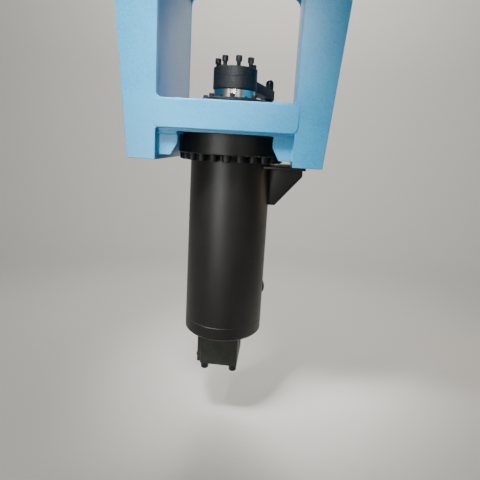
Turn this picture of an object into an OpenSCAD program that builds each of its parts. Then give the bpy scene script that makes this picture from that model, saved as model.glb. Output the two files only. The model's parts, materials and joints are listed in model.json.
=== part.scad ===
// Vertical injection unit of a die casting machine.
// A welded frame hangs under the machine bed and carries the shot cylinder.
// Origin: centre of the head plate's top face, +X right, +Y to the rear, +Z up.

/* [Frame] */
// frame depth over the front and rear plates
frame_depth = 640; // [580:10:900]
// clear width of the window between the legs
window_w = 600; // [560:10:900]
// height from the foot to the underside of the head plate
frame_h = 998; // [700:1:1500]
// thickness of the frame's plates
plate_t = 25; // [12:1:40]
// width of a leg at the foot
foot_w = 128; // [80:1:220]
// width of a leg under the head plate
shoulder_w = 214; // [130:1:320]
// how far the feet reach below the cross beam
foot_drop = 138; // [80:1:240]
// height of the cross beam
beam_h = 129; // [80:1:220]
// radius in the window's lower corners
window_r = 22; // [10:1:80]
// radius in the corners of the notch under the beam
notch_r = 6; // [2:1:20]
// height of the band that closes the window at the top
top_band_h = 120; // [60:1:220]
// radius in the window's upper corners
top_r = 60; // [20:1:120]
// how far the beam's face stands proud of the legs
pad_t = 3; // [1:0.5:10]
// corner radius of the beam's face
pad_r = 30; // [4:1:35]
// how far the beam's face stops short of the beam's edges
pad_edge = 5; // [1:1:20]
// how far the beam's face laps over each leg
pad_over = 12; // [2:1:40]

/* [Head plate] */
// head plate thickness
head_t = 60; // [30:1:120]
// how far the head plate reaches past the legs at each side
head_side = 101; // [60:1:200]
// how far the head plate reaches past the front and rear plates
head_over = 50; // [10:1:120]
// corner radius of the head plate
head_r = 40; // [5:1:100]
// bore for the shot sleeve
sleeve_bore_d = 300; // [230:1:400]
// hanging bolts, distance from the side edge of the head plate
bolt_edge_x = 50; // [30:1:70]
// hanging bolts, distance from the front and rear edges
bolt_edge_y = 90; // [30:1:160]
// diameter of the hanging bolt holes
head_hole_d = 39; // [18:0.5:60]

/* [Table] */
// table plate thickness
table_t = 80; // [60:1:140]
// how far the table hangs below the beam
table_drop = 9; // [0:1:60]
// clearance of the cylinder nose in the table bore
nose_fit = 0.5; // [0.1:0.1:2]
// thickness of the bars under the table
bar_t = 12; // [8:1:30]
// width of the bars under the table
bar_w = 90; // [60:1:160]
// gap between the bars and the cylinder flange
bar_gap = 4; // [2:1:20]
// chamfer along the free edge of the bars
bar_c = 7; // [1:1:11]
// height of the ribs on the table
rib_h = 62; // [20:1:100]
// thickness of ribs and gussets
rib_t = 20; // [8:1:30]
// gap between a rib and the guide bush
rib_gap = 5; // [2:1:40]

/* [Gussets] */
// gusset width
gusset_w = 90; // [50:1:140]
// gusset height
gusset_h = 94; // [60:1:120]
// how far the gusset lies behind the front plate's back
gusset_set = 10; // [0:1:90]
// chamfer of the gusset's free corner, across
gusset_cx = 31; // [10:1:60]
// chamfer of the gusset's free corner, up
gusset_cz = 55; // [10:1:58]

/* [Shot cylinder] */
// flange thickness
flange_t = 96; // [40:1:140]
// nose diameter
nose_d = 340; // [320:1:400]
// how far the nose stands above the table
nose_up = 20; // [5:1:60]
// tube outside diameter
tube_d = 406; // [340:1:450]
// tube wall
tube_wall = 43; // [15:1:80]
// tube length from the flange to the end cap
tube_l = 858; // [500:1:1400]
// end cap thickness
cap_t = 70; // [45:1:120]
// depth of the groove for the weld at the end cap
seam_d = 2; // [0.5:0.5:5]
// number of flange screws
flange_n = 24; // [8:1:32]
// gap between the tube and the washers, for the weld
weld_gap = 13; // [8:1:30]
// distance from the washers to the flange's edge
flange_edge = 3; // [3:1:20]
// direction of the first flange screw
flange_turn = 1.3; // [0:0.1:14]
// thread size of the flange and manifold screws
screw_d = 27; // [16:1:27]
// diameter of their washers
washer_d = 44; // [42:1:46]
// thickness of their washers
washer_t = 5; // [2:0.5:8]
// depth of their tapped holes
tap_l = 46; // [30:1:60]

/* [Gland] */
// gland ring diameter
gland_d = 318; // [312:1:336]
// gland ring height
gland_h = 70; // [30:1:120]
// number of gland screws
gland_n = 8; // [4:1:16]
// pitch circle of the gland screws
gland_pcd = 286; // [240:1:290]
// thread size of the gland screws
gland_screw_d = 16; // [10:1:18]
// direction of the first gland screw
gland_turn = 2.5; // [0:0.5:44]

/* [Piston rod and coupling] */
// rod diameter
rod_d = 206; // [100:1:240]
// running clearance of the rod and the piston, on the radius
run_fit = 0.05; // [0.01:0.01:0.1]
// rod showing between the gland and the coupling
rod_show = 44; // [25:1:120]
// piston length
piston_l = 100; // [50:1:200]
// gap under the piston when it is down
piston_gap = 10; // [5:1:40]
// coupling diameter
coup_d = 216; // [210:1:280]
// height of the lower coupling ring
coup_low_h = 55; // [50:1:100]
// height of the upper coupling ring
coup_up_h = 48; // [20:1:90]
// bore for the injection plunger
plunger_d = 120; // [60:1:140]
// how deep the plunger bore goes into the lower ring
plunger_in = 36; // [10:1:50]
// number of coupling screws
coup_n = 8; // [4:1:12]
// pitch circle of the coupling screws
coup_pcd = 175; // [160:1:180]
// thread size of the coupling screws
coup_screw_d = 20; // [12:1:22]
// head height of the coupling screws
coup_head_h = 25; // [12:1:30]
// how far the front coupling screws are backed out
coup_lift = 22; // [0:1:40]
// how much less the first of them is backed out
coup_less = 6; // [0:1:20]

/* [Stroke rod] */
// gap between the stroke rod and the cylinder flange
stroke_gap = 8; // [3:0.5:25]
// direction of the stroke rod, from +X towards the rear
stroke_az = 55; // [48:0.5:62]
// stroke rod diameter
stroke_d = 28; // [16:1:40]
// stroke rod length below the arm
stroke_l = 735; // [500:1:900]
// diameter of the rod's lower end, for a magnet or a clamp
tip_d = 24; // [12:1:36]
// length of the rod's lower end
tip_l = 30; // [10:1:60]
// diameter of the domed nut
knob_d = 43; // [36:1:60]
// height of the domed nut below its dome
knob_h = 38; // [16:1:50]
// height of the lock nut under the arm
nut_h = 20; // [10:1:30]
// height of the arm
arm_h = 50; // [30:1:50]
// how far the arm falls towards its end
arm_fall = 21; // [0:1:60]
// arm width at the coupling
arm_root_w = 124; // [60:1:180]
// arm width at its end
arm_end_w = 46; // [36:1:80]
// wall of the guide bush in the table
bush_wall = 8; // [4:1:20]

/* [Manifold] */
// manifold block width
block_w = 196; // [160:1:260]
// manifold block depth
block_l = 236; // [210:1:280]
// manifold block height
block_h = 177; // [140:1:300]
// chamfer along the block's edges
block_c = 4; // [1:0.5:12]
// manifold screws, distance from the block's sides
block_ex = 23; // [23:1:30]
// manifold screws, distance from the block's front and rear
block_ey = 25; // [23:1:34]
// oil ports in the block's sides
block_port_d = 56; // [20:1:80]
// depth of the oil ports
block_port_h = 30; // [10:1:60]
// passages behind the ports
passage_d = 40; // [10:1:50]
// thickness of the port plate on the block's left side
port_t = 17; // [10:1:40]
// how far the port plate's edges lie inside the block's
port_in = 6; // [2:1:14]
// thread size of the port plate's screws
port_screw_d = 12; // [6:1:14]
// spacing of the port plate's screws, front to rear
port_s = 120; // [100:1:130]
// port plate's screws, distance from its upper and lower edges
port_edge = 16; // [12:1:20]
// oil passage through the end cap
cap_port_d = 60; // [20:1:80]
// diameter of the port boss on the tube
boss_d = 88; // [50:1:120]
// how far the port boss stands out
boss_out = 24; // [10:1:60]
// port boss height above the tube's lower end
boss_up = 128; // [80:1:700]
// port in the boss
boss_port_d = 52; // [20:1:80]
// depth of the port in the boss
boss_port_h = 18; // [5:1:40]
// direction of the port boss
boss_az = 35; // [-80:1:80]

/* [Side bracket] */
// reach of the bracket plate from the cylinder axis
bracket_x = 374; // [300:1:500]
// reach of the bracket plate to the front
bracket_front = 110; // [40:1:180]
// reach of the bracket plate to the rear
bracket_rear = 230; // [180:1:260]
// thickness of the bracket plate
bracket_t = 12; // [6:1:30]
// gap between the bracket plate and the feet and screw heads above it
bracket_gap = 13; // [8:1:60]
// gap between the bracket plate and the stroke rod
bracket_fit = 8; // [5:1:20]
// height of the bracket's webs
web_h = 189; // [80:1:300]
// thickness of the bracket's webs
web_t = 16; // [8:1:30]
// distance between the bracket's webs
web_pitch = 150; // [100:1:160]
// how far the webs stay behind the plate's free edge
web_in = 8; // [0:1:30]
// height of the webs at the free edge
web_nose = 36; // [10:1:80]
// width of the webs at their lower end
web_foot = 34; // [10:1:80]
// holes in the bracket plate
bracket_hole_d = 18; // [8:1:30]
// spacing of the holes
bracket_hole_s = 80; // [60:1:90]
// distance of the holes from the free edge
bracket_hole_e = 60; // [20:1:100]

/* [Hidden] */
$fn = 96;
eps = 0.01;
head_z = -head_t;
foot_z = head_z - frame_h;
beam_z = foot_z + foot_drop;
beam_top = beam_z + beam_h;
table_z = beam_z - table_drop;
table_top = table_z + table_t;
flange_z = table_z - flange_t;
tube_z = flange_z - tube_l;
cap_z = tube_z - cap_t;
block_z = cap_z - block_h;
nose_top = table_top + nose_up;
gland_top = nose_top + gland_h;
coup_z = gland_top + rod_show;
coup_mid = coup_z + coup_low_h;
coup_top = coup_mid + coup_up_h;
piston_z = tube_z + piston_gap;
half_w = window_w / 2;
half_d = frame_depth / 2;
inside_l = frame_depth - 2 * plate_t;
bore_d = tube_d - 2 * tube_wall;
flange_pcd = tube_d + 2 * weld_gap + washer_d;
flange_d = flange_pcd + washer_d + 2 * flange_edge;
foot_x = half_w + foot_w;
shoulder_x = half_w + shoulder_w;
lean = (shoulder_x - foot_x) / frame_h;
head_w = 2 * (shoulder_x + head_side);
head_l = frame_depth + 2 * head_over;
head_bolt_x = head_w - 2 * bolt_edge_x;
head_bolt_y = head_l - 2 * bolt_edge_y;
bar_z = table_z - bar_t;
screw_fit = 0.3;
hole_fit = 1;
port_z = block_z + block_h / 2;
block_sx = block_w - 2 * block_ex;
block_sy = block_l - 2 * block_ey;
port_w = block_l - 2 * port_in;
port_h = block_h - 2 * port_in;
port_sz = port_h - 2 * port_edge;
port_tap = 1.5 * port_screw_d;
stroke_r = flange_d / 2 + stroke_gap + stroke_d / 2;
bush_d = stroke_d + 2 * bush_wall;
bush_rim_d = bush_d + 10;
arm_z = coup_z + coup_low_h - arm_h;
arm_end = stroke_r + arm_end_w / 2;
arm_end_z = arm_z - arm_fall;
knob_seat_z = arm_end_z + arm_h;
arm_bend = coup_d / 2 - 18;
arm_under_z = arm_z - arm_fall * (stroke_r - arm_end_w / 2 - 1 - arm_bend) / (arm_end - arm_bend);
rib_x = stroke_r * cos(stroke_az) + bush_rim_d / 2 + rib_gap + rib_t / 2;
bracket_z = min(flange_z - washer_t - screw_d, foot_z) - bracket_gap - bracket_t;
blue = [0.55, 0.74, 0.83];
black = [0.09, 0.09, 0.09];
dark = [0.13, 0.14, 0.15];
steel = [0.78, 0.79, 0.80];
olive = [0.12, 0.13, 0.12];
paint_dark = [0.45, 0.64, 0.74];

// cap screw with a hexagon socket, head's seat at z = 0, shank down
module cap_screw(d, l, h) {
  ease = 0.1 * d;
  difference() {
    union() {
      cylinder(d = 1.5 * d, h = h - ease, $fn = 48);
      translate([0, 0, h - ease - eps])
        cylinder(d1 = 1.5 * d, d2 = 1.5 * d - 2 * ease, h = ease + eps, $fn = 48);
      translate([0, 0, -l])
        cylinder(d = d, h = l + eps, $fn = 48);
    }
    translate([0, 0, h - d / 2])
      cylinder(d = 0.92 * d, h = d, $fn = 6);
  }
}

// spandrel that rounds an inside corner at the origin, in the +X +Y quadrant
module corner2d(r) {
  difference() {
    square(r);
    translate([r, r])
      circle(r);
  }
}

// plate with round corners, centred
module round_rect2d(w, h, r) {
  difference() {
    square([w, h], center = true);
    for (sx = [-1, 1], sy = [-1, 1])
      scale([sx, sy])
        translate([w / 2, h / 2])
          rotate(180)
            corner2d(r);
  }
}

// rectangle with cut corners, centred
module cut_rect2d(w, h, c) {
  x = w / 2;
  y = h / 2;
  polygon([[-x + c, -y], [x - c, -y], [x, -y + c], [x, y - c], [x - c, y], [-x + c, y],
    [-x, y - c], [-x, -y + c]]);
}

// outline of the front and rear plates: two leaning legs, beam, window, notch
module portal2d() {
  difference() {
    polygon([[-foot_x, foot_z], [foot_x, foot_z], [shoulder_x, head_z], [-shoulder_x, head_z]]);
    difference() {
      translate([-half_w, beam_top])
        square([window_w, head_z - top_band_h - beam_top]);
      for (s = [-1, 1]) {
        translate([s * half_w, beam_top])
          scale([-s, 1])
            corner2d(window_r);
        translate([s * half_w, head_z - top_band_h])
          scale([-s, -1])
            corner2d(top_r);
      }
    }
    difference() {
      translate([-half_w, foot_z - 1])
        square([window_w, foot_drop + 1]);
      for (s = [-1, 1])
        translate([s * half_w, beam_z])
          scale([-s, -1])
            corner2d(notch_r);
    }
  }
}

module portal_plate(y) {
  color(blue)
    translate([0, y + plate_t, 0])
      rotate([90, 0, 0])
        linear_extrude(plate_t)
          portal2d();
}

module front_plate() {
  portal_plate(-half_d);
}

module rear_plate() {
  portal_plate(half_d - plate_t);
}

module inner_web(s) {
  color(blue)
    translate([s * (half_w + plate_t / 2), 0, (foot_z + head_z) / 2])
      cube([plate_t, inside_l, frame_h], center = true);
}

module left_inner_web() {
  inner_web(-1);
}

module right_inner_web() {
  inner_web(1);
}

// outer web follows the leaning edge of the legs
module outer_web(s) {
  slant_t = plate_t / cos(atan(lean));
  color(blue)
    translate([0, inside_l / 2, 0])
      rotate([90, 0, 0])
        linear_extrude(inside_l)
          scale([s, 1])
            polygon([[foot_x - slant_t, foot_z], [foot_x, foot_z], [shoulder_x, head_z],
              [shoulder_x - slant_t, head_z]]);
}

module left_outer_web() {
  outer_web(-1);
}

module right_outer_web() {
  outer_web(1);
}

module foot_plate(s) {
  slant_t = plate_t / cos(atan(lean));
  color(paint_dark)
    translate([0, inside_l / 2, 0])
      rotate([90, 0, 0])
        linear_extrude(inside_l)
          scale([s, 1])
            polygon([[half_w + plate_t, foot_z], [foot_x - slant_t, foot_z],
              [foot_x - slant_t + lean * plate_t, foot_z + plate_t],
              [half_w + plate_t, foot_z + plate_t]]);
}

module left_foot_plate() {
  foot_plate(-1);
}

module right_foot_plate() {
  foot_plate(1);
}

// face of the cross beam, slightly proud of the legs
module beam_pad(y) {
  color(blue)
    translate([0, y + pad_t, beam_z + beam_h / 2])
      rotate([90, 0, 0])
        linear_extrude(pad_t)
          round_rect2d(window_w + 2 * pad_over, beam_h - 2 * pad_edge, pad_r);
}

module front_beam_pad() {
  beam_pad(-half_d - pad_t);
}

module rear_beam_pad() {
  beam_pad(half_d);
}

module head_plate() {
  color(blue)
    difference() {
      translate([0, 0, head_z])
        linear_extrude(head_t)
          round_rect2d(head_w, head_l, head_r);
      translate([0, 0, head_z - 1])
        cylinder(d = sleeve_bore_d, h = head_t + 2);
      for (sx = [-1, 1], y = [-head_bolt_y / 2, 0, head_bolt_y / 2])
        translate([sx * head_bolt_x / 2, y, head_z - 1])
          cylinder(d = head_hole_d, h = head_t + 2, $fn = 48);
    }
}

module table_plate() {
  color(blue)
    difference() {
      translate([-half_w, -inside_l / 2, table_z])
        cube([window_w, inside_l, table_t]);
      translate([0, 0, table_z - 1])
        cylinder(d = nose_d + 2 * nose_fit, h = table_t + 2);
      for (i = [0 : flange_n - 1])
        rotate(flange_turn + i * 360 / flange_n)
          translate([flange_pcd / 2, 0, table_z - 1])
            cylinder(d = screw_d + 2 * screw_fit, h = tap_l + 1, $fn = 48);
      rotate(stroke_az)
        translate([stroke_r, 0, table_z - 1])
          cylinder(d = bush_d, h = table_t + 2, $fn = 48);
    }
}

// bar that stiffens the table beside the flange and carries the gussets
module table_bar(s) {
  color(blue)
    difference() {
      translate([0, inside_l / 2, 0])
        rotate([90, 0, 0])
          linear_extrude(inside_l)
            scale([s, 1])
              polygon([[half_w, table_z], [half_w - bar_w, table_z],
                [half_w - bar_w, bar_z + bar_c], [half_w - bar_w + bar_c, bar_z], [half_w, bar_z]]);
      translate([0, 0, bar_z - 1])
        cylinder(d = flange_d + 2 * bar_gap, h = bar_t + 2, $fn = 128);
      rotate(stroke_az)
        translate([stroke_r, 0, bar_z - 1])
          cylinder(d = bush_d, h = bar_t + 2, $fn = 48);
    }
}

module left_table_bar() {
  table_bar(-1);
}

module right_table_bar() {
  table_bar(1);
}

module table_rib(s) {
  color(blue)
    difference() {
      translate([s * rib_x - rib_t / 2, -inside_l / 2, table_top])
        cube([rib_t, inside_l, rib_h]);
      for (y = [-1, 1])
        translate([s * rib_x, y * inside_l / 4, table_top + rib_h / 2])
          rotate([0, 90, 0])
            cylinder(d = rib_h / 2, h = rib_t + 2, center = true, $fn = 48);
    }
}

module left_table_rib() {
  table_rib(-1);
}

module right_table_rib() {
  table_rib(1);
}

// five sided plate between the inner web and the bar under the table
module gusset(s, y) {
  color(blue)
    translate([0, y + rib_t, 0])
      rotate([90, 0, 0])
        linear_extrude(rib_t)
          scale([s, 1])
            polygon([[half_w, bar_z], [half_w - gusset_w, bar_z],
              [half_w - gusset_w, bar_z - gusset_h + gusset_cz],
              [half_w - gusset_w + gusset_cx, bar_z - gusset_h], [half_w, bar_z - gusset_h]]);
}

module front_left_gusset() {
  gusset(-1, -half_d + plate_t + gusset_set);
}

module front_right_gusset() {
  gusset(1, -half_d + plate_t + gusset_set);
}

module rear_left_gusset() {
  gusset(-1, half_d - plate_t - gusset_set - rib_t);
}

module rear_right_gusset() {
  gusset(1, half_d - plate_t - gusset_set - rib_t);
}

module cylinder_flange() {
  color(black)
    difference() {
      rotate_extrude($fn = 128)
        polygon([[0, flange_z + 4], [tube_d / 2, flange_z], [flange_d / 2 - 3, flange_z],
          [flange_d / 2, flange_z + 3], [flange_d / 2, table_z - 3], [flange_d / 2 - 3, table_z],
          [nose_d / 2, table_z], [nose_d / 2, nose_top - 3], [nose_d / 2 - 3, nose_top],
          [0, nose_top]]);
      translate([0, 0, flange_z - 1])
        cylinder(d = rod_d + 1, h = nose_top - flange_z + 2);
      for (i = [0 : flange_n - 1])
        rotate(flange_turn + i * 360 / flange_n)
          translate([flange_pcd / 2, 0, flange_z - 1])
            cylinder(d = screw_d + 2 * hole_fit, h = flange_t + 2, $fn = 48);
      for (i = [0 : gland_n - 1])
        rotate(gland_turn + i * 360 / gland_n)
          translate([gland_pcd / 2, 0, nose_top - 40])
            cylinder(d = gland_screw_d + 2 * screw_fit, h = 41, $fn = 48);
    }
}

module cylinder_tube() {
  color(black)
    difference() {
      translate([0, 0, tube_z])
        cylinder(d = tube_d, h = tube_l, $fn = 128);
      translate([0, 0, tube_z - 1])
        cylinder(d = bore_d, h = tube_l + 2);
      rotate(boss_az)
        translate([0, 0, tube_z + boss_up])
          rotate([0, 90, 0])
            cylinder(d = passage_d, h = tube_d, $fn = 48);
    }
}

module end_cap() {
  color(black)
    difference() {
      rotate_extrude($fn = 128)
        polygon([[0, cap_z], [tube_d / 2 - 8, cap_z], [tube_d / 2, cap_z + 8],
          [tube_d / 2, tube_z - 2 * seam_d], [tube_d / 2 - seam_d, tube_z - seam_d],
          [tube_d / 2 - seam_d, tube_z], [0, tube_z]]);
      translate([0, 0, cap_z - 1])
        cylinder(d = cap_port_d, h = cap_t + 2);
      for (sx = [-1, 1], sy = [-1, 1])
        translate([sx * block_sx / 2, sy * block_sy / 2, cap_z - 1])
          cylinder(d = screw_d + 2 * screw_fit, h = tap_l - 5, $fn = 48);
    }
}

module gland_ring() {
  color(dark)
    difference() {
      rotate_extrude($fn = 128)
        polygon([[rod_d / 2 + run_fit, nose_top], [gland_d / 2, nose_top],
          [gland_d / 2, gland_top - 4], [gland_d / 2 - 4, gland_top],
          [rod_d / 2 + 6, gland_top], [rod_d / 2 + run_fit, gland_top - 6]]);
      for (i = [0 : gland_n - 1])
        rotate(gland_turn + i * 360 / gland_n)
          translate([gland_pcd / 2, 0, nose_top - 1])
            cylinder(d = gland_screw_d + 2 * hole_fit, h = gland_h + 2, $fn = 48);
    }
}

module gland_screws() {
  color(dark)
    for (i = [0 : gland_n - 1])
      rotate(gland_turn + i * 360 / gland_n)
        translate([gland_pcd / 2, 0, gland_top])
          cap_screw(gland_screw_d, gland_h + 34, gland_screw_d);
}

module flange_screws() {
  color(dark)
    for (i = [0 : flange_n - 1])
      rotate(flange_turn + i * 360 / flange_n)
        translate([flange_pcd / 2, 0, flange_z - washer_t])
          mirror([0, 0, 1])
            cap_screw(screw_d, washer_t + flange_t + tap_l - 5, screw_d);
}

module washer(z) {
  translate([0, 0, z - washer_t])
    difference() {
      cylinder(d = washer_d, h = washer_t, $fn = 48);
      translate([0, 0, -1])
        cylinder(d = screw_d + 2 * screw_fit, h = washer_t + 2, $fn = 48);
    }
}

// washers under the flange screws and the manifold screws
module plain_washers() {
  color(dark) {
    for (i = [0 : flange_n - 1])
      rotate(flange_turn + i * 360 / flange_n)
        translate([flange_pcd / 2, 0, 0])
          washer(flange_z);
    for (sx = [-1, 1], sy = [-1, 1])
      translate([sx * block_sx / 2, sy * block_sy / 2, 0])
        washer(block_z);
  }
}

module manifold_block() {
  color(olive)
    difference() {
      translate([0, 0, block_z])
        linear_extrude(block_h)
          cut_rect2d(block_w, block_l, block_c);
      translate([0, 0, port_z - cap_port_d / 2])
        cylinder(d = cap_port_d, h = block_h);
      translate([-block_w, 0, port_z])
        rotate([0, 90, 0])
          cylinder(d = passage_d, h = 2 * block_w);
      translate([0, 0, port_z])
        rotate([-90, 0, 0])
          cylinder(d = passage_d, h = block_l);
      translate([block_w / 2 - block_port_h, 0, port_z])
        rotate([0, 90, 0])
          cylinder(d = block_port_d, h = block_port_h + 1);
      translate([0, block_l / 2 - block_port_h, port_z])
        rotate([-90, 0, 0])
          cylinder(d = block_port_d, h = block_port_h + 1);
      for (sx = [-1, 1], sy = [-1, 1])
        translate([sx * block_sx / 2, sy * block_sy / 2, block_z - 1])
          cylinder(d = screw_d + 2 * hole_fit, h = block_h + 2, $fn = 48);
      for (sy = [-1, 1], sz = [-1, 1])
        translate([-block_w / 2 - 1, sy * port_s / 2, port_z + sz * port_sz / 2])
          rotate([0, 90, 0])
            cylinder(d = port_screw_d + 2 * screw_fit, h = port_tap + 4, $fn = 48);
    }
}

module manifold_screws() {
  color(dark)
    for (sx = [-1, 1], sy = [-1, 1])
      translate([sx * block_sx / 2, sy * block_sy / 2, block_z - washer_t])
        mirror([0, 0, 1])
          cap_screw(screw_d, washer_t + block_h + tap_l - 12, screw_d);
}

// plate on the block's left side, with the port for the main pipe
module port_plate() {
  color(olive)
    translate([-block_w / 2, 0, port_z])
      rotate([0, -90, 0])
        linear_extrude(port_t)
          difference() {
            cut_rect2d(port_h, port_w, block_c);
            circle(d = block_port_d);
            for (sx = [-1, 1], sy = [-1, 1])
              translate([sx * port_sz / 2, sy * port_s / 2])
                circle(d = port_screw_d + 2 * screw_fit, $fn = 48);
          }
}

module port_screws() {
  color(dark)
    for (sy = [-1, 1], sz = [-1, 1])
      translate([-block_w / 2 - port_t, sy * port_s / 2, port_z + sz * port_sz / 2])
        rotate([0, -90, 0])
          cap_screw(port_screw_d, port_t + port_tap, port_screw_d);
}

// round boss saddled on the tube, with the oil port through it
module port_boss() {
  color(black)
    rotate(boss_az)
      difference() {
        translate([bore_d / 2, 0, tube_z + boss_up])
          rotate([0, 90, 0])
            cylinder(d = boss_d, h = (tube_d - bore_d) / 2 + boss_out, $fn = 64);
        translate([0, 0, tube_z])
          cylinder(d = tube_d, h = 2 * boss_up, $fn = 128);
        translate([0, 0, tube_z + boss_up])
          rotate([0, 90, 0])
            cylinder(d = passage_d, h = tube_d, $fn = 48);
        translate([tube_d / 2 + boss_out - boss_port_h, 0, tube_z + boss_up])
          rotate([0, 90, 0])
            cylinder(d = boss_port_d, h = boss_port_h + 1, $fn = 48);
      }
}

// plate beside the tube, kept clear of the stroke rod
module bracket_plate() {
  inner_x = stroke_r * cos(stroke_az) + stroke_d / 2 + bracket_fit;
  color(black)
    difference() {
      translate([0, 0, bracket_z])
        linear_extrude(bracket_t)
          polygon([[0, -bracket_front], [bracket_x, -bracket_front], [bracket_x, bracket_rear],
            [inner_x, bracket_rear], [inner_x, 0], [0, 0]]);
      translate([0, 0, bracket_z - 1])
        cylinder(d = tube_d, h = bracket_t + 2, $fn = 128);
      for (s = [-1, 1])
        translate([bracket_x - bracket_hole_e, (web_pitch + s * bracket_hole_s) / 2, bracket_z - 1])
          cylinder(d = bracket_hole_d, h = bracket_t + 2, $fn = 32);
    }
}

// two three-cornered webs under the bracket plate, welded to the tube
module bracket_webs() {
  x = bracket_x - web_in;
  low_x = tube_d / 2 + web_foot;
  low = bracket_z - web_h;
  color(black)
    difference() {
      for (y = [0, web_pitch])
        translate([0, y + web_t / 2, 0])
          rotate([90, 0, 0])
            linear_extrude(web_t)
              polygon([[60, bracket_z], [x, bracket_z], [x, bracket_z - web_nose], [low_x, low],
                [60, low]]);
      translate([0, 0, low - 1])
        cylinder(d = tube_d, h = web_h + 2, $fn = 128);
    }
}

module guide_bush() {
  color(steel)
    rotate(stroke_az)
      translate([stroke_r, 0, 0])
        difference() {
          union() {
            translate([0, 0, bar_z])
              cylinder(d = bush_d, h = table_t + bar_t, $fn = 48);
            translate([0, 0, table_top])
              cylinder(d = bush_rim_d, h = 8, $fn = 48);
          }
          translate([0, 0, bar_z - 1])
            cylinder(d = stroke_d + 2 * run_fit, h = table_t + bar_t + 20, $fn = 48);
        }
}

module piston() {
  color(steel)
    rotate_extrude($fn = 128)
      polygon([[0, piston_z], [bore_d / 2 - 6, piston_z], [bore_d / 2 - run_fit, piston_z + 6],
        [bore_d / 2 - run_fit, piston_z + piston_l - 6], [bore_d / 2 - 6, piston_z + piston_l],
        [0, piston_z + piston_l]]);
}

module piston_rod() {
  color(steel)
    rotate_extrude($fn = 128)
      polygon([[0, piston_z + piston_l], [rod_d / 2, piston_z + piston_l], [rod_d / 2, coup_z - 3],
        [rod_d / 2 - 3, coup_z], [0, coup_z]]);
}

function coup_out(i) = i < coup_n / 2 ? 0 : coup_lift - (i == coup_n / 2 ? coup_less : 0);

module lower_coupling_ring() {
  color(dark)
    difference() {
      rotate_extrude($fn = 128)
        polygon([[0, coup_z], [coup_d / 2 - 3, coup_z], [coup_d / 2, coup_z + 3],
          [coup_d / 2, coup_mid - 1.5], [coup_d / 2 - 1.5, coup_mid], [0, coup_mid]]);
      translate([0, 0, coup_mid - plunger_in])
        cylinder(d = plunger_d, h = plunger_in + 1, $fn = 64);
      for (i = [0 : coup_n - 1])
        rotate(15 + i * 360 / coup_n)
          translate([coup_pcd / 2, 0, coup_mid - 44])
            cylinder(d = coup_screw_d + 2 * screw_fit, h = 45, $fn = 48);
    }
}

module upper_coupling_ring() {
  color(dark)
    difference() {
      rotate_extrude($fn = 128)
        polygon([[plunger_d / 2, coup_mid], [coup_d / 2 - 1.5, coup_mid],
          [coup_d / 2, coup_mid + 1.5], [coup_d / 2, coup_top - 3], [coup_d / 2 - 3, coup_top],
          [plunger_d / 2, coup_top]]);
      for (i = [0 : coup_n - 1])
        rotate(15 + i * 360 / coup_n)
          translate([coup_pcd / 2, 0, coup_mid - 1])
            cylinder(d = coup_screw_d + 2 * screw_fit, h = coup_up_h + 2, $fn = 48);
    }
}

// the front screws are backed out, the first of them less, and the rear ones are seated
module coupling_screws() {
  color(dark)
    for (i = [0 : coup_n - 1])
      rotate(15 + i * 360 / coup_n)
        translate([coup_pcd / 2, 0, coup_top + coup_out(i)])
          cap_screw(coup_screw_d, coup_up_h + 40, coup_head_h);
}

// arm that tapers in plan and falls towards the stroke rod
module stroke_arm() {
  root = coup_d / 2 - 68;
  taper = arm_bend - 5;
  c = 5;
  color(dark)
    rotate(stroke_az)
      difference() {
        intersection() {
          translate([0, 0, arm_end_z - 1])
            linear_extrude(arm_h + arm_fall + 2)
              polygon([[root, -arm_root_w / 2], [taper, -arm_root_w / 2],
                [arm_end - c, -arm_end_w / 2], [arm_end, -arm_end_w / 2 + c],
                [arm_end, arm_end_w / 2 - c], [arm_end - c, arm_end_w / 2],
                [taper, arm_root_w / 2], [root, arm_root_w / 2]]);
          translate([0, arm_root_w, 0])
            rotate([90, 0, 0])
              linear_extrude(2 * arm_root_w)
                polygon([[root, arm_z], [arm_bend, arm_z], [arm_end, arm_end_z],
                  [arm_end, arm_end_z + arm_h], [arm_bend, arm_z + arm_h], [root, arm_z + arm_h]]);
        }
        translate([0, 0, arm_end_z - 2])
          cylinder(d = coup_d, h = arm_h + arm_fall + 4, $fn = 128);
        translate([stroke_r, 0, arm_end_z - 2])
          cylinder(d = stroke_d + 2 * screw_fit, h = arm_h + arm_fall + 4, $fn = 48);
        translate([stroke_r, 0, knob_seat_z])
          cylinder(d = arm_end_w + 2, h = arm_h, $fn = 64);
        translate([stroke_r, 0, arm_under_z - arm_h])
          cylinder(d = arm_end_w + 2, h = arm_h, $fn = 64);
      }
}

module stroke_rod() {
  color(steel)
    rotate(stroke_az)
      translate([stroke_r, 0, 0]) {
        translate([0, 0, arm_z - stroke_l])
          cylinder(d = tip_d, h = tip_l + 1, $fn = 48);
        translate([0, 0, arm_z - stroke_l + tip_l])
          cylinder(d = stroke_d, h = knob_seat_z + knob_h / 2 - arm_z + stroke_l - tip_l, $fn = 48);
      }
}

// domed nut on top of the arm
module domed_nut() {
  r = knob_d / 2;
  dome_z = knob_seat_z + knob_h;
  color(dark)
    rotate(stroke_az)
      translate([stroke_r, 0, 0])
        difference() {
          rotate_extrude($fn = 64)
            polygon(concat([[0, knob_seat_z], [r, knob_seat_z]],
              [for (a = [0 : 10 : 90]) [r * cos(a), dome_z + r * sin(a)]]));
          translate([0, 0, knob_seat_z - 1])
            cylinder(d = stroke_d + 2 * screw_fit, h = knob_h / 2 + 1, $fn = 48);
        }
}

// hexagon nut that clamps the rod from below
module lock_nut() {
  color(dark)
    rotate(stroke_az)
      translate([stroke_r, 0, arm_under_z - nut_h])
        difference() {
          cylinder(d = 1.65 * stroke_d, h = nut_h, $fn = 6);
          translate([0, 0, -1])
            cylinder(d = stroke_d + 2 * run_fit, h = nut_h + 2, $fn = 48);
        }
}

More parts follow.
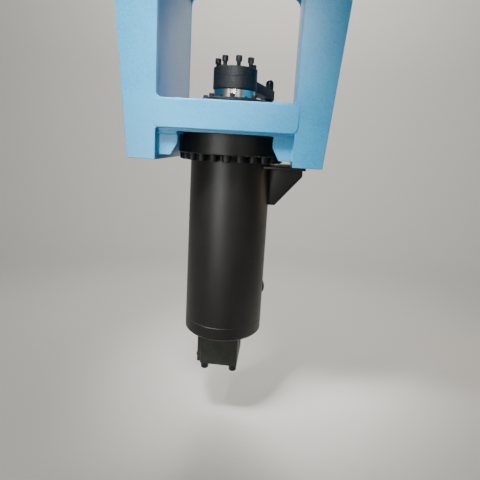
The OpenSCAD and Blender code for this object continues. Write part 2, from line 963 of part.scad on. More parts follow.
front_plate();
rear_plate();
left_inner_web();
right_inner_web();
left_outer_web();
right_outer_web();
left_foot_plate();
right_foot_plate();
front_beam_pad();
rear_beam_pad();
head_plate();
table_plate();
left_table_bar();
right_table_bar();
left_table_rib();
right_table_rib();
front_left_gusset();
front_right_gusset();
rear_left_gusset();
rear_right_gusset();
cylinder_flange();
cylinder_tube();
end_cap();
gland_ring();
gland_screws();
flange_screws();
plain_washers();
manifold_block();
manifold_screws();
port_plate();
port_screws();
port_boss();
bracket_plate();
bracket_webs();
guide_bush();
piston();
piston_rod();
lower_coupling_ring();
upper_coupling_ring();
coupling_screws();
stroke_arm();
stroke_rod();
domed_nut();
lock_nut();
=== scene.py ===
import json
import math
import bmesh
import bpy
from mathutils import Matrix, Vector, noise


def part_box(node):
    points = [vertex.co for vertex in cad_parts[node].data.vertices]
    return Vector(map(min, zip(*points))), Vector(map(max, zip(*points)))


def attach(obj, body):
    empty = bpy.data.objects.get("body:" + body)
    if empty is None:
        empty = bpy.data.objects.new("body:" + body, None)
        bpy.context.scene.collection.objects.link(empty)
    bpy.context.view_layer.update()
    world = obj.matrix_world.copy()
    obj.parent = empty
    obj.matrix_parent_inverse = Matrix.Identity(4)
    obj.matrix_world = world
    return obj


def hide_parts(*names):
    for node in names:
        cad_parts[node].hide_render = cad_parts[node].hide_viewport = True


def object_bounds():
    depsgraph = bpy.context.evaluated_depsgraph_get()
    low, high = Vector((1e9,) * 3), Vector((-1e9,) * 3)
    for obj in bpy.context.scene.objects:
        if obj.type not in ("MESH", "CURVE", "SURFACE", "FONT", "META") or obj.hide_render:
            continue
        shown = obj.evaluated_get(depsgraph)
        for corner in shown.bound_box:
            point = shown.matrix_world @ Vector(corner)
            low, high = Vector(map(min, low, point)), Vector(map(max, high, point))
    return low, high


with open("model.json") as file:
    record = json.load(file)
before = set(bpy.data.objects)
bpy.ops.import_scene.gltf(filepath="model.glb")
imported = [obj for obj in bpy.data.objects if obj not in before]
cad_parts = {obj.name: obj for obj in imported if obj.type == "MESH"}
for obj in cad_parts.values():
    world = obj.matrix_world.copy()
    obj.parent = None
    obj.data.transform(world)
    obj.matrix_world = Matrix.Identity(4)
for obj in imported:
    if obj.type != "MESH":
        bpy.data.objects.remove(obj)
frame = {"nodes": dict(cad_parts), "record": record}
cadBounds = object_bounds()
nodes = frame["nodes"]
scene = bpy.context.scene
print("frame loaded")

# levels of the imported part, in metres
levels = {
    "head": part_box("head_plate")[0].z,
    "foot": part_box("front_plate")[0].z,
    "tableTop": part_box("table_plate")[1].z,
    "flange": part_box("cylinder_flange")[0].z,
    "tube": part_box("cylinder_tube")[0].z,
    "block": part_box("manifold_block")[0].z,
    "gland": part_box("gland_ring")[1].z,
    "couplingTop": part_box("upper_coupling_ring")[1].z,
    "bar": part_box("left_table_bar")[0].z,
    "bracket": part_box("bracket_plate")[0].z,
    "webLow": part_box("bracket_webs")[0].z,
}
# the beam's face stops short of the beam's edges
padInset = 0.005
levels["beam"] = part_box("front_beam_pad")[0].z - padInset
levels["beamTop"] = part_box("front_beam_pad")[1].z + padInset

ends = (("front", -1), ("rear", 1))
sides = (("left", -1), ("right", 1))


# ---- materials

def toLinear(code):
    parts = [int(code[i:i + 2], 16) / 255 for i in (1, 3, 5)]
    return [c / 12.92 if c <= 0.04045 else ((c + 0.055) / 1.055) ** 2.4 for c in parts] + [1.0]


def put(tree, kind, inputs=None, **settings):
    made = tree.nodes.new("ShaderNode" + kind)
    for key, value in settings.items():
        setattr(made, key, value)
    for key, value in (inputs or {}).items():
        if isinstance(value, bpy.types.NodeSocket):
            tree.links.new(value, made.inputs[key])
        else:
            made.inputs[key].default_value = value
    return made


def newMaterial(name, **values):
    # principled material, with a socket that gives object coordinates in mm
    made = bpy.data.materials.new(name)
    made.use_nodes = True
    tree = made.node_tree
    shader = tree.nodes["Principled BSDF"]
    for key, value in values.items():
        shader.inputs[key.replace("_", " ")].default_value = value
    place = put(tree, "TexCoord")
    inMm = put(tree, "Mapping", {"Vector": place.outputs["Object"], "Scale": (1000, 1000, 1000)})
    return made, tree, shader, inMm.outputs["Vector"]


def noiseOf(tree, vector, sizeMm, detail=3, rough=0.55, stretch=(1, 1, 1)):
    if stretch != (1, 1, 1):
        vector = put(tree, "Mapping", {"Vector": vector, "Scale": stretch}).outputs["Vector"]
    made = put(tree, "TexNoise", {"Vector": vector, "Scale": 1 / sizeMm, "Detail": detail,
                                  "Roughness": rough})
    return made.outputs["Fac"]


def patchOf(tree, vector, low, high, toLow=0.0, toHigh=1.0, **pattern):
    # noise whose values from low to high are spread from toLow to toHigh
    made = put(tree, "MapRange", {"Value": noiseOf(tree, vector, **pattern), "From Min": low,
                                  "From Max": high, "To Min": toLow, "To Max": toHigh})
    return made.outputs["Result"]


def mixOf(tree, factor, first, second):
    # each color is a socket or a hex code
    made = put(tree, "Mix", data_type="RGBA")
    sockets = [s for s in made.inputs if s.enabled]
    for socket, value in zip(sockets, (factor, first, second)):
        if isinstance(value, str):
            socket.default_value = toLinear(value)
        else:
            tree.links.new(value, socket)
    return next(s for s in made.outputs if s.enabled)


def dress(tree, shader, tone, roughness=None):
    tree.links.new(tone, shader.inputs["Base Color"])
    if roughness:
        tree.links.new(roughness, shader.inputs["Roughness"])


def bumpOf(tree, shader, height, strength, distance, before=None):
    inputs = {"Height": height, "Strength": strength, "Distance": distance}
    if before:
        inputs["Normal"] = before
    made = put(tree, "Bump", inputs)
    tree.links.new(made.outputs["Normal"], shader.inputs["Normal"])
    return made.outputs["Normal"]


def framePaint():
    # light blue machine enamel, sprayed thick, semi-gloss with a fine orange peel
    look = {"base": "#309FD0", "paleSparkle": "#48ACD8", "deep": "#2894C8"}
    made, tree, shader, mm = newMaterial("enamel_light_blue", Roughness=0.38, IOR=1.5)
    cloud = patchOf(tree, mm, sizeMm=130, detail=4, low=0.35, high=0.65)
    # pale specks: a random tone of the paint that also serves as painted sparkle, standing in for the
    # glints of the glossy orange peel
    speckAndSparkle = patchOf(tree, mm, sizeMm=7, detail=4, rough=0.7, low=0.42, high=0.74)
    tone = mixOf(tree, cloud, look["deep"], look["base"])
    gloss = patchOf(tree, mm, sizeMm=12, low=0.3, high=0.7, toLow=0.26, toHigh=0.44)
    dress(tree, shader, mixOf(tree, speckAndSparkle, tone, look["paleSparkle"]), gloss)
    peel = noiseOf(tree, mm, sizeMm=7, rough=0.6)
    wave = noiseOf(tree, mm, sizeMm=45, detail=2, rough=0.5)
    fine = bumpOf(tree, shader, peel, strength=0.5, distance=0.0012)
    bumpOf(tree, shader, wave, strength=0.4, distance=0.003, before=fine)
    return made


def cylinderPaint():
    # black satin enamel on the cylinder, smooth, with faint handling marks
    look = {"base": "#0E0D0D", "dust": "#151413", "scuff": "#2A2825", "stretch": (1, 1, 0.5)}
    made, tree, shader, mm = newMaterial("enamel_black", Roughness=0.42, IOR=1.5)
    cloud = patchOf(tree, mm, sizeMm=60, detail=4, rough=0.6, stretch=look["stretch"], low=0.4, high=0.75)
    scuff = patchOf(tree, mm, sizeMm=16, detail=5, rough=0.7, stretch=look["stretch"], low=0.74,
                    high=0.8, toHigh=0.6)
    tone = mixOf(tree, cloud, look["base"], look["dust"])
    gloss = patchOf(tree, mm, sizeMm=25, detail=4, low=0.3, high=0.7, toLow=0.38, toHigh=0.46)
    dress(tree, shader, mixOf(tree, scuff, tone, look["scuff"]), gloss)
    bumpOf(tree, shader, noiseOf(tree, mm, sizeMm=4), strength=0.06, distance=0.0004)
    return made


def blackOxide():
    # blackened steel of screws, nuts, gland, coupling rings and stroke arm, satin from oil
    look = {"base": "#282A2C", "worn": "#454647", "turned": (1, 1, 6)}
    made, tree, shader, mm = newMaterial("black_oxide_steel", Metallic=0.7, Roughness=0.5)
    worn = patchOf(tree, mm, sizeMm=9, detail=4, rough=0.6, low=0.5, high=0.85)
    gloss = patchOf(tree, mm, sizeMm=14, low=0.3, high=0.7, toLow=0.44, toHigh=0.56)
    dress(tree, shader, mixOf(tree, worn, look["base"], look["worn"]), gloss)
    marks = noiseOf(tree, mm, sizeMm=3, detail=2, rough=0.5, stretch=look["turned"])
    bumpOf(tree, shader, marks, strength=0.05, distance=0.0003)
    return made


def rodChrome():
    # ground hard chrome of the piston rod
    look = {"base": "#DEDACF", "dull": "#BBB6AA", "drawn": (1, 1, 0.3), "ground": (1, 1, 8)}
    made, tree, shader, mm = newMaterial("hard_chrome", Metallic=1.0, Roughness=0.2)
    dull = patchOf(tree, mm, sizeMm=20, detail=4, rough=0.6, stretch=look["drawn"], low=0.45, high=0.8)
    gloss = patchOf(tree, mm, sizeMm=8, rough=0.5, stretch=look["ground"], low=0.3, high=0.7,
                    toLow=0.14, toHigh=0.26)
    dress(tree, shader, mixOf(tree, dull, look["base"], look["dull"]), gloss)
    return made


def bareSteel():
    # machined steel of the guide bush, the piston and the stroke rod
    look = {"base": "#A3A4A2", "dull": "#7C7D7B", "banded": (1, 1, 4), "turned": (0.2, 0.2, 3)}
    made, tree, shader, mm = newMaterial("machined_steel", Metallic=1.0, Roughness=0.34)
    dull = patchOf(tree, mm, sizeMm=12, detail=4, rough=0.6, stretch=look["banded"], low=0.4, high=0.75)
    dress(tree, shader, mixOf(tree, dull, look["base"], look["dull"]))
    marks = noiseOf(tree, mm, sizeMm=1.5, detail=2, rough=0.5, stretch=look["turned"])
    bumpOf(tree, shader, marks, strength=0.12, distance=0.0002)
    return made


def blockSteel():
    # phosphated steel of the manifold block and its port plate, dark grey green with small chips
    look = {"base": "#30332F", "patch": "#3D403B", "chip": "#8A8A82"}
    made, tree, shader, mm = newMaterial("phosphated_steel", Metallic=0.3, Roughness=0.55)
    patch = patchOf(tree, mm, sizeMm=45, detail=5, rough=0.65, low=0.4, high=0.65)
    chip = patchOf(tree, mm, sizeMm=6, detail=4, rough=0.7, low=0.74, high=0.77)
    tone = mixOf(tree, patch, look["base"], look["patch"])
    dress(tree, shader, mixOf(tree, chip, tone, look["chip"]))
    bumpOf(tree, shader, noiseOf(tree, mm, sizeMm=5, detail=4), strength=0.15, distance=0.0005)
    return made


finishes = {
    "frame_paint": framePaint(),
    "cylinder_paint": cylinderPaint(),
    "black_oxide": blackOxide(),
    "rod_chrome": rodChrome(),
    "bare_steel": bareSteel(),
    "block_steel": blockSteel(),
}
for part in frame["record"]["subparts"]:
    shape = nodes[part["node"]]
    shape.data.materials.clear()
    shape.data.materials.append(finishes[part["material_slot"]])
print("materials made")


# ---- mesh helpers

def newObject(name, data):
    made = bpy.data.objects.new(name, data)
    scene.collection.objects.link(made)
    return made


def addPiece(name, mesh, slot, body, replaced=()):
    shape = newObject(name, mesh)
    mesh.materials.clear()
    mesh.materials.append(finishes[slot])
    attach(shape, body)
    if replaced:
        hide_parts(*replaced)


# angles in degrees over which an edge stays sharp
smoothing = {"plate": 50, "eased": 40, "bead": 80, "screw": 32}


def shadeByAngle(mesh, degrees):
    mesh.polygons.foreach_set("use_smooth", [True] * len(mesh.polygons))
    mesh.set_sharp_from_angle(angle=math.radians(degrees))


def fullTurn(count):
    return [2 * math.pi * i / count for i in range(count)]


def arc(x, y, r, start, end, steps=10):
    turn = [math.radians(start + (end - start) * i / steps) for i in range(steps + 1)]
    return [(x + r * math.cos(a), y + r * math.sin(a)) for a in turn]


def circle(x, y, r, steps):
    return arc(x, y, r, 0, 360, steps)[:-1]


def roundedRect(left, low, right, high, r):
    return (arc(left + r, low + r, r, 180, 270) + arc(right - r, low + r, r, 270, 360)
            + arc(right - r, high - r, r, 0, 90) + arc(left + r, high - r, r, 90, 180))


def plateMesh(name, loops, thickness, bevel, place):
    # flat plate with holes and eased edges, drawn in local XY
    curve = bpy.data.curves.new(name, "CURVE")
    curve.dimensions = "2D"
    curve.fill_mode = "BOTH"
    curve.extrude = thickness / 2 - bevel
    curve.bevel_depth = bevel
    curve.bevel_resolution = 2
    curve.offset = -bevel
    for loop in loops:
        spline = curve.splines.new("POLY")
        spline.points.add(len(loop) - 1)
        for point, (x, y) in zip(spline.points, loop):
            point.co = (x, y, 0, 1)
        spline.use_cyclic_u = True
    holder = newObject(name + "Curve", curve)
    graph = bpy.context.evaluated_depsgraph_get()
    mesh = bpy.data.meshes.new_from_object(holder.evaluated_get(graph))
    bpy.data.objects.remove(holder)
    mesh.name = name
    mesh.transform(place)
    shadeByAngle(mesh, smoothing["plate"])
    return mesh


def upright(y):
    # local XY becomes world XZ, at that depth
    return Matrix.Translation((0, y, 0)) @ Matrix.Rotation(math.pi / 2, 4, "X")


def ringMesh(name, rings, capped=True):
    # skin over rings of equal length, with a fan over each end when capped
    count = len(rings[0])
    points = [p for ring in rings for p in ring]
    faces = []
    for r in range(len(rings) - 1):
        for i in range(count):
            j = (i + 1) % count
            faces.append((r * count + i, r * count + j, (r + 1) * count + j, (r + 1) * count + i))
    if capped:
        for base, ring, flip in ((0, rings[0], True), ((len(rings) - 1) * count, rings[-1], False)):
            middle = sum((Vector(p) for p in ring), Vector()) / count
            points.append(tuple(middle))
            for i in range(count):
                j = (i + 1) % count
                tri = (base + i, base + j, len(points) - 1)
                faces.append(tri[::-1] if flip else tri)
    mesh = bpy.data.meshes.new(name)
    mesh.from_pydata(points, [], faces)
    return mesh


def joinMeshes(name, meshes, places):
    points, faces = [], []
    for mesh, place in zip(meshes, places):
        start = len(points)
        points += [tuple(place @ v.co) for v in mesh.vertices]
        faces += [tuple(start + i for i in p.vertices) for p in mesh.polygons]
    made = bpy.data.meshes.new(name)
    made.from_pydata(points, [], faces)
    return made


# ---- welded frame

# front and rear plate of the frame, with the window over the beam and the notch under it
portal = {"halfW": 0.3, "footX": 0.428, "shoulderX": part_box("front_plate")[1].x, "windowR": 0.022,
          "topR": 0.06, "topSteps": 14, "notchR": 0.006, "notchSteps": 5, "topBand": 0.12,
          "thick": 0.025, "halfD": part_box("rear_plate")[1].y, "ease": 0.0028}


def portalLoops():
    w, foot, head = portal["halfW"], levels["foot"], levels["head"]
    beam, beamTop, top = levels["beam"], levels["beamTop"], levels["head"] - portal["topBand"]
    n, r, t = portal["notchR"], portal["windowR"], portal["topR"]
    outside = [(-portal["shoulderX"], head), (-portal["footX"], foot), (-w, foot)]
    steps = portal["notchSteps"]
    outside += arc(-w + n, beam - n, n, 180, 90, steps) + arc(w - n, beam - n, n, 90, 0, steps)
    outside += [(w, foot), (portal["footX"], foot), (portal["shoulderX"], head)]
    window = arc(-w + r, beamTop + r, r, 180, 270) + arc(w - r, beamTop + r, r, 270, 360)
    steps = portal["topSteps"]
    window += arc(w - t, top - t, t, 0, 90, steps) + arc(-w + t, top - t, t, 90, 180, steps)
    return [outside, window]


for word, end in ends:
    mesh = plateMesh(word + "Plate", portalLoops(), portal["thick"], portal["ease"],
                     upright(end * (portal["halfD"] - portal["thick"] / 2)))
    addPiece(word + "Plate", mesh, "frame_paint", "base", (word + "_plate",))

webs = {"depth": 2 * (portal["halfD"] - portal["thick"]), "thick": 0.025, "ease": 0.0015}
lean = (portal["shoulderX"] - portal["footX"]) / (levels["head"] - levels["foot"])
slantT = webs["thick"] * math.sqrt(1 + lean * lean)
for word, side in sides:
    inner = [(portal["halfW"], levels["foot"]), (portal["halfW"] + webs["thick"], levels["foot"]),
             (portal["halfW"] + webs["thick"], levels["head"]), (portal["halfW"], levels["head"])]
    outer = [(portal["footX"] - slantT, levels["foot"]), (portal["footX"], levels["foot"]),
             (portal["shoulderX"], levels["head"]), (portal["shoulderX"] - slantT, levels["head"])]
    for kind, loop in (("inner", inner), ("outer", outer)):
        name = word + kind.title() + "Web"
        loop = [(side * x, z) for x, z in loop][::side]
        mesh = plateMesh(name, [loop], webs["depth"], webs["ease"], upright(0))
        addPiece(name, mesh, "frame_paint", "base", (word + "_" + kind + "_web",))

pads = {"halfW": 0.312, "thick": 0.003, "r": 0.03, "ease": 0.0014}
padLoop = roundedRect(-pads["halfW"], levels["beam"] + padInset, pads["halfW"],
                      levels["beamTop"] - padInset, pads["r"])
for word, end in ends:
    mesh = plateMesh(word + "BeamFace", [padLoop], pads["thick"], pads["ease"],
                     upright(end * (portal["halfD"] + pads["thick"] / 2)))
    addPiece(word + "BeamFace", mesh, "frame_paint", "base", (word + "_beam_pad",))

head = {"halfW": 0.615, "halfL": 0.37, "r": 0.04, "thick": 0.06, "ease": 0.003, "boreR": 0.15,
        "boreSteps": 96, "boltX": 0.565, "boltY": 0.28, "boltR": 0.0195, "boltSteps": 32}
headLoops = [roundedRect(-head["halfW"], -head["halfL"], head["halfW"], head["halfL"], head["r"]),
             circle(0, 0, head["boreR"], head["boreSteps"])]
headLoops += [circle(sx * head["boltX"], sy * head["boltY"], head["boltR"], head["boltSteps"])
              for sx in (-1, 1) for sy in (-1, 0, 1)]
mesh = plateMesh("headPlate", headLoops, head["thick"], head["ease"],
                 Matrix.Translation((0, 0, -head["thick"] / 2)))
addPiece("headPlate", mesh, "frame_paint", "base", ("head_plate",))

# five-sided gussets under the table bars, the lower inner corner cut
gussets = {"w": 0.09, "h": 0.094, "thick": 0.02, "cutX": 0.031, "cutZ": 0.055, "ease": 0.002,
           "top": levels["bar"], "face": portal["halfD"] - 0.035}
gussetLow = gussets["top"] - gussets["h"]
gussetIn = portal["halfW"] - gussets["w"]
for word, side in sides:
    loop = [(portal["halfW"], gussets["top"]), (gussetIn, gussets["top"]),
            (gussetIn, gussetLow + gussets["cutZ"]), (gussetIn + gussets["cutX"], gussetLow),
            (portal["halfW"], gussetLow)]
    loop = [(side * x, z) for x, z in loop][::side]
    for row, end in ends:
        name = row + word.title() + "Gusset"
        mesh = plateMesh(name, [loop], gussets["thick"], gussets["ease"],
                         upright(end * (gussets["face"] - gussets["thick"] / 2)))
        addPiece(name, mesh, "frame_paint", "base", (row + "_" + word + "_gusset",))
print("frame made")


# ---- weld beads

# spacing and sides of a bead's rings; its wave and its random swelling are shares of the radius
ripple = {"step": 0.0022, "sides": 8, "wave": 0.1, "turn": 2.1, "swell": 0.12, "grain": 90}
# radii, and how far the beads keep from the edges they run up to or along
beads = {"frame": 0.006, "tube": 0.006, "bracket": 0.0045, "boss": 0.006,
         "cornerGap": 0.004, "plateGap": 0.002, "flangeGap": 0.001, "webGap": 0.003, "tipGap": 0.006}


def beadMesh(path, radius, closed=False):
    # rippled bead along a line of points
    path = [Vector(p) for p in path]
    if closed:
        path.append(path[0])
    samples = []
    for a, b in zip(path, path[1:]):
        count = max(1, round((b - a).length / ripple["step"]))
        samples += [a.lerp(b, i / count) for i in range(count)]
    if not closed:
        samples.append(path[-1])
    rings = []
    total = len(samples)
    for i, p in enumerate(samples):
        before = samples[i - 1] if i or closed else p
        after = samples[(i + 1) % total] if i + 1 < total or closed else p
        along = (after - before).normalized()
        side = along.cross(Vector((0, 0, 1)))
        side = side.normalized() if side.length > 0.1 else Vector((1, 0, 0))
        up = side.cross(along)
        r = radius * (1 + ripple["wave"] * math.sin(i * ripple["turn"])
                      + ripple["swell"] * noise.noise(p * ripple["grain"]))
        rings.append([tuple(p + side * r * math.cos(a) + up * r * math.sin(a))
                      for a in fullTurn(ripple["sides"])])
    if closed:
        rings.append(rings[0])
    return ringMesh("bead", rings, not closed)


def weldPiece(name, slot, runs):
    # one piece from several runs of bead, each a path, a radius and True for a closed one
    made = joinMeshes(name, [beadMesh(*run) for run in runs], [Matrix()] * len(runs))
    shadeByAngle(made, smoothing["bead"])
    addPiece(name, made, slot, "base")


paths = []
gap = beads["cornerGap"]
for _, side in sides:
    x = side * portal["halfW"]
    for _, end in ends:
        y = end * gussets["face"]
        webEnd = end * (webs["depth"] / 2 - beads["plateGap"])
        paths.append([(x, y, gussets["top"] - gap), (x, y, gussetLow + gap)])
        paths.append([(x, y, gussets["top"]), (side * (gussetIn + gap), y, gussets["top"])])
        paths.append([(x, webEnd, levels["tableTop"]), (x, 0, levels["tableTop"])])
    paths.append([(side * portal["shoulderX"], y, levels["head"])
                  for y in (-portal["halfD"] + gap, portal["halfD"] - gap)])
for _, end in ends:
    paths.append([(x, end * portal["halfD"], levels["head"])
                  for x in (-portal["shoulderX"], portal["shoulderX"])])
weldPiece("frameWelds", "frame_paint", [(path, beads["frame"]) for path in paths])

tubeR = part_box("cylinder_tube")[1].y
tubeSteps = 96
# inner is the bracket's edge beside the stroke rod, webs are the middles of its two webs
bracket = {"thick": 0.012, "front": -0.11, "inner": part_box("stroke_rod")[1].x + 0.008,
           "webT": 0.016, "webs": (0.0, 0.15), "webTip": 0.366, "steps": 24}
boss = {"az": 35, "r": 0.044, "up": 0.128, "steps": 64}


def tubeX(y):
    return math.sqrt(tubeR * tubeR - y * y)


def tubeArc(turn, z):
    return [(tubeR * math.cos(a), tubeR * math.sin(a), z) for a in turn]


runs = [(tubeArc(fullTurn(tubeSteps), levels["flange"] - beads["flangeGap"]), beads["tube"], True)]
first = math.atan2(bracket["front"], tubeX(bracket["front"]))
last = math.acos(bracket["inner"] / tubeR)
turn = [first + (last - first) * i / bracket["steps"] for i in range(bracket["steps"] + 1)]
for level in (levels["bracket"], levels["bracket"] + bracket["thick"]):
    runs.append((tubeArc(turn, level), beads["bracket"]))
for middle in bracket["webs"]:
    for y in (middle - bracket["webT"] / 2, middle + bracket["webT"] / 2):
        low = levels["webLow"] + beads["webGap"]
        runs.append(([(tubeX(y), y, levels["bracket"]), (tubeX(y), y, low)], beads["bracket"]))
        runs.append(([(max(tubeX(y), bracket["inner"]), y, levels["bracket"]),
                      (bracket["webTip"] - beads["tipGap"], y, levels["bracket"])], beads["bracket"]))
path = []
for a in fullTurn(boss["steps"]):
    y = boss["r"] * math.cos(a)
    spot = Matrix.Rotation(math.radians(boss["az"]), 4, "Z") @ Vector((tubeX(y), y, 0))
    path.append((spot.x, spot.y, levels["tube"] + boss["up"] + boss["r"] * math.sin(a)))
runs.append((path, beads["boss"], True))
weldPiece("cylinderWelds", "cylinder_paint", runs)
print("welds made")


# ---- blocks and plates with eased edges

# merge distance in metres, the angle under which faces join and the one over which edges are eased
cleaning = {"merge": 0.00005, "flat": 2, "crease": 25}


def easedCopy(name, node, ease, body, slot):
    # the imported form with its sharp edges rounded
    work = bmesh.new()
    work.from_mesh(nodes[node].data)
    work.transform(nodes[node].matrix_world)
    bmesh.ops.remove_doubles(work, verts=work.verts, dist=cleaning["merge"])
    bmesh.ops.dissolve_limit(work, angle_limit=math.radians(cleaning["flat"]), verts=work.verts,
                             edges=work.edges)
    crease = math.radians(cleaning["crease"])
    sharp = [e for e in work.edges if len(e.link_faces) == 2 and e.calc_face_angle() > crease]
    bmesh.ops.bevel(work, geom=sharp, offset=ease, segments=2, profile=0.5, affect="EDGES",
                    clamp_overlap=True)
    bmesh.ops.triangulate(work, faces=work.faces)
    mesh = bpy.data.meshes.new(name)
    work.to_mesh(mesh)
    work.free()
    shadeByAngle(mesh, smoothing["eased"])
    addPiece(name, mesh, slot, body, (node,))


easedCopy("strokeArm", "stroke_arm", 0.003, "rod", "black_oxide")
easedCopy("bracketPlate", "bracket_plate", 0.0015, "base", "cylinder_paint")
easedCopy("bracketWebs", "bracket_webs", 0.002, "base", "cylinder_paint")
easedCopy("manifoldBlock", "manifold_block", 0.0015, "base", "block_steel")
easedCopy("portPlate", "port_plate", 0.0012, "base", "block_steel")
for kind, ending in (("TableRib", "_table_rib"), ("TableBar", "_table_bar"),
                     ("FootPlate", "_foot_plate")):
    for word, _ in sides:
        easedCopy(word + kind, word + ending, 0.002, "base", "frame_paint")
print("eased pieces made")


# ---- screws

# a screw's form: radii, heights and depths as shares of its thread's size, the head's foot, band
# and top as shares of the head's radius
form = {"headR": 0.75, "tipR": 0.425, "tipH": 0.1, "threadD": 0.15, "foot": 0.95, "footH": 0.05,
        "band": 0.985, "bandLow": 0.1, "bandHigh": 0.14, "easeH": 0.1, "top": 0.9, "knurlD": 0.018,
        "socketD": 0.5, "flat": 0.41, "mouth": 0.44, "mouthD": 0.03, "drillR": 0.2, "drillD": 0.05}
screwSteps = {"turn": 72, "pitch": 5}


def screwMesh(name, d, length, headH=None, threadFrom=None, pitch=0.0025, runOut=0.001):
    # socket head cap screw with knurled head, head's seat at z = 0; plain shank without threadFrom
    turn = fullTurn(screwSteps["turn"])
    size = {key: share * d for key, share in form.items()}
    headR, headH = size["headR"], headH or d
    socket = headH - size["socketD"]

    def ringAt(z, reach):
        return [(r * math.cos(a), r * math.sin(a), z) for r, a in zip(reach, turn)]

    def ring(z, r, teeth=0.0):
        return ringAt(z, [r - teeth * (i % 2) for i in range(len(turn))])

    def hexagon(z, flat):
        sixth = math.pi / 3
        return ringAt(z, [flat / math.cos((a + sixth / 2) % sixth - sixth / 2) for a in turn])

    def threadRing(z):
        return ringAt(z, [d / 2 - size["threadD"] * abs((a / (2 * math.pi) - z / pitch) % 1 - 0.5)
                          for a in turn])

    rings = [ring(-length, size["tipR"])]
    if threadFrom is None:
        rings += [ring(-length + size["tipH"], d / 2), ring(0, d / 2)]
    else:
        count = round((length - threadFrom) / (pitch / screwSteps["pitch"]))
        rings += [threadRing(-length + (length - threadFrom) * k / count) for k in range(count + 1)]
        rings += [ring(-threadFrom + runOut, d / 2), ring(0, d / 2)]
    # the head's foot, the knurled band and the eased top
    rings += [ring(0, headR * form["foot"]), ring(size["footH"], headR * form["band"]),
              ring(size["bandLow"], headR, size["knurlD"]),
              ring(headH - size["bandHigh"], headR, size["knurlD"]),
              ring(headH - size["easeH"], headR * form["band"]), ring(headH, headR * form["top"])]
    # the socket, from its mouth down to the drill point
    rings += [hexagon(headH, size["mouth"]), hexagon(headH - size["mouthD"], size["flat"]),
              hexagon(socket, size["flat"]), ring(socket - size["drillD"], size["drillR"])]
    return ringMesh(name, rings)


def screwSet(name, node, screw, spots, body, facing=Matrix()):
    # screws of one size, each head turned a little further than the last
    turnStep = 0.37
    mesh = screwMesh(name + "One", **screw)
    places = [Matrix.Translation(spot) @ facing @ Matrix.Rotation(k * turnStep, 4, "Z")
              for k, spot in enumerate(spots)]
    made = joinMeshes(name, [mesh] * len(places), places)
    shadeByAngle(made, smoothing["screw"])
    addPiece(name, made, "black_oxide", body, (node,))


def around(ring, z, lift=None):
    # the ring's spots at that height, each raised by its lift
    turn = [math.radians(ring["start"] + 360 * i / ring["count"]) for i in range(ring["count"])]
    return [(ring["pcd"] / 2 * math.cos(a), ring["pcd"] / 2 * math.sin(a), z + (lift[i] if lift else 0))
            for i, a in enumerate(turn)]


washerT = 0.005
facingDown = Matrix.Rotation(math.pi, 4, "X")
facingLeft = Matrix.Rotation(-math.pi / 2, 4, "Y")

flangeScrew = {"d": 0.027, "length": 0.03}
flangeRing = {"pcd": 0.476, "count": 24, "start": 1.3}
screwSet("flangeScrews", "flange_screws", flangeScrew, around(flangeRing, levels["flange"] - washerT),
         "base", facingDown)

manifoldSpots = {"x": 0.075, "y": 0.093, "z": levels["block"] - washerT}
screwSet("manifoldScrews", "manifold_screws", flangeScrew,
         [(sx * manifoldSpots["x"], sy * manifoldSpots["y"], manifoldSpots["z"])
          for sx in (-1, 1) for sy in (-1, 1)], "base", facingDown)

glandScrew = {"d": 0.016, "length": 0.02}
glandRing = {"pcd": 0.286, "count": 8, "start": 2.5}
screwSet("glandScrews", "gland_screws", glandScrew, around(glandRing, levels["gland"]), "base")

portScrew = {"d": 0.012, "length": 0.014}
portLow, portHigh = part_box("port_plate")
portSpots = {"y": 0.06, "edge": 0.016}
middle, half = (portLow.z + portHigh.z) / 2, (portHigh.z - portLow.z) / 2 - portSpots["edge"]
screwSet("portScrews", "port_screws", portScrew,
         [(portLow.x, sy * portSpots["y"], middle + sz * half) for sy in (-1, 1) for sz in (-1, 1)],
         "base", facingLeft)

couplingScrew = {"d": 0.02, "length": 0.05, "headH": 0.025, "threadFrom": 0.012}
# the last four stand at the front and are backed out, the first of them less
couplingRing = {"pcd": 0.175, "count": 8, "start": 15}
backedOut = [0.0] * 4 + [0.016] + [0.022] * 3
screwSet("couplingScrews", "coupling_screws", couplingScrew,
         around(couplingRing, levels["couplingTop"], backedOut), "rod")
print("screws made")


# ---- floor, light and camera

# round floor that sweeps up into a wall on every side, and the sky's light
studio = {"r": 7.0, "sweep": 3.0, "wallH": 10.0, "drop": 0.3, "sides": 96, "steps": 24, "hubR": 0.0005,
          "color": "#C9C6C0", "sky": "#D9D8D4", "skyPower": 0.06}
floorZ = cadBounds[0][2] - studio["drop"]
profile = [(studio["hubR"], floorZ)]
for i in range(studio["steps"] + 1):
    a = math.pi / 2 * i / studio["steps"]
    profile.append((studio["r"] - studio["sweep"] + studio["sweep"] * math.sin(a),
                    floorZ + studio["sweep"] * (1 - math.cos(a))))
profile.append((studio["r"], floorZ + studio["wallH"]))
turn = fullTurn(studio["sides"])
rings = [[(r * math.cos(a), r * math.sin(a), z) for a in turn] for r, z in profile]
floorMesh = ringMesh("studioFloor", rings, False)
floorMesh.polygons.foreach_set("use_smooth", [True] * len(floorMesh.polygons))
floor = newObject("studioFloor", floorMesh)
floorLook = newMaterial("studio_floor", Roughness=0.85, Base_Color=toLinear(studio["color"]))[0]
floorMesh.materials.append(floorLook)

world = bpy.data.worlds.new("studio")
scene.world = world
world.use_nodes = True
sky = world.node_tree.nodes["Background"]
sky.inputs["Color"].default_value = toLinear(studio["sky"])
sky.inputs["Strength"].default_value = studio["skyPower"]

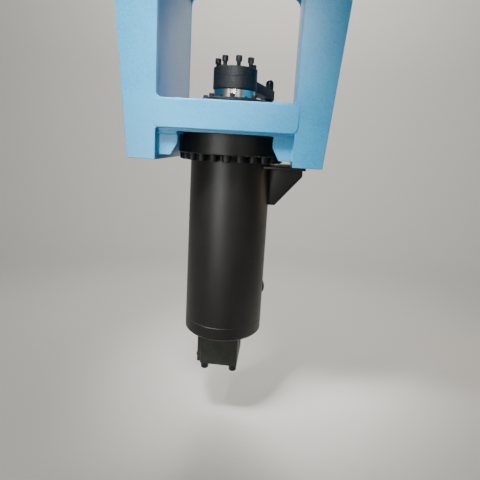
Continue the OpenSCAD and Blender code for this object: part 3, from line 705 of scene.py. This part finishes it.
lamps = [
    {"name": "keySteep", "at": (-0.7, -1.5, 1.5), "aim": (-0.15, -0.32, -0.9), "w": 0.5, "h": 0.5,
     "power": 7.0, "spread": 30},
    {"name": "keySide", "at": (-1.6, -1.6, 1.5), "aim": (-0.15, -0.32, -0.9), "w": 0.5, "h": 0.5,
     "power": 3.2, "spread": 22},
    {"name": "stripLeft", "at": (-0.9, -1.95, -0.9), "aim": (0, 0, -1.0), "w": 0.6, "h": 1.4,
     "power": 2.8},
    {"name": "stripRight", "at": (1.15, -2.3, -0.8), "aim": (0, 0, -1.1), "w": 0.3, "h": 1.5,
     "power": 2.8},
    {"name": "stripLow", "at": (-0.6, -1.7, -1.3), "aim": (0, 0, -1.35), "w": 0.8, "h": 1.0,
     "power": 1.7, "spread": 60},
    {"name": "lowFill", "at": (0, -2.6, -2.2), "aim": (0, 0, -1.7), "w": 1.4, "h": 0.6, "power": 2.5},
    {"name": "couplingFill", "at": (0.1, -2.6, 0.1), "aim": (0, 0, -0.6), "w": 0.6, "h": 0.5,
     "power": 0.7, "spread": 14},
    {"name": "rimRight", "at": (2.4, 1.1, -1.0), "aim": (0, 0, -1.2), "w": 0.6, "h": 1.4, "power": 5,
     "tint": "#FFDDB0"},
    {"name": "rearCard", "at": (0.74, 3.0, -0.2), "aim": (0, 0, -0.7), "w": 0.6, "h": 1.3, "power": 4},
    {"name": "sideLeft", "at": (-2.8, 0, 1.6), "aim": (-0.45, 0, -0.7), "w": 0.8, "h": 0.8, "power": 20},
    {"name": "sideRight", "at": (2.8, 0, 1.6), "aim": (0.45, 0, -0.7), "w": 0.8, "h": 0.8, "power": 20},
    {"name": "rearFill", "at": (-0.7, 2.8, 1.3), "aim": (0, 0.3, -0.9), "w": 1.2, "h": 1.0,
     "power": 34, "spread": 100},
    {"name": "wallWash", "at": (0, 3.0, 3.5), "aim": (0, 7, 0), "w": 2.5, "h": 1.5, "power": 330},
    {"name": "frontWash", "at": (0, -3.2, 3.8), "aim": (0, -7, 0), "w": 2.5, "h": 1.5, "power": 35},
    {"name": "floorWash", "at": (0, 0.5, 4.0), "aim": (0, 1.0, -2.4), "w": 5.0, "h": 5.0, "power": 25},
]
for lamp in lamps:
    light = bpy.data.lights.new(lamp["name"], "AREA")
    light.shape = "RECTANGLE"
    light.size, light.size_y, light.energy = lamp["w"], lamp["h"], lamp["power"]
    light.color = toLinear(lamp.get("tint", "#FFFFFF"))[:3]
    light.spread = math.radians(lamp.get("spread", 180))
    holder = newObject(lamp["name"], light)
    holder.visible_camera = False
    aim = Vector(lamp["aim"]) - Vector(lamp["at"])
    facing = aim.to_track_quat("-Z", "Y").to_matrix().to_4x4()
    holder.matrix_world = Matrix.Translation(lamp["at"]) @ facing

view = {"at": (0.2388, -2.0468, -0.9555), "yaw": 0.0866, "pitch": -0.1804, "roll": 0.0572,
        "lens": 30.0, "sensor": 36, "shiftY": -0.055, "near": 0.05}
camera = newObject("camera", bpy.data.cameras.new("camera"))
camera.data.sensor_width = view["sensor"]
camera.data.lens = view["lens"]
camera.data.shift_y = view["shiftY"]
camera.data.clip_start = view["near"]
camera.matrix_world = (Matrix.Translation(view["at"]) @ Matrix.Rotation(view["yaw"], 4, "Z")
                       @ Matrix.Rotation(math.pi / 2 + view["pitch"], 4, "X")
                       @ Matrix.Rotation(view["roll"], 4, "Z"))
scene.camera = camera
print("stage made")
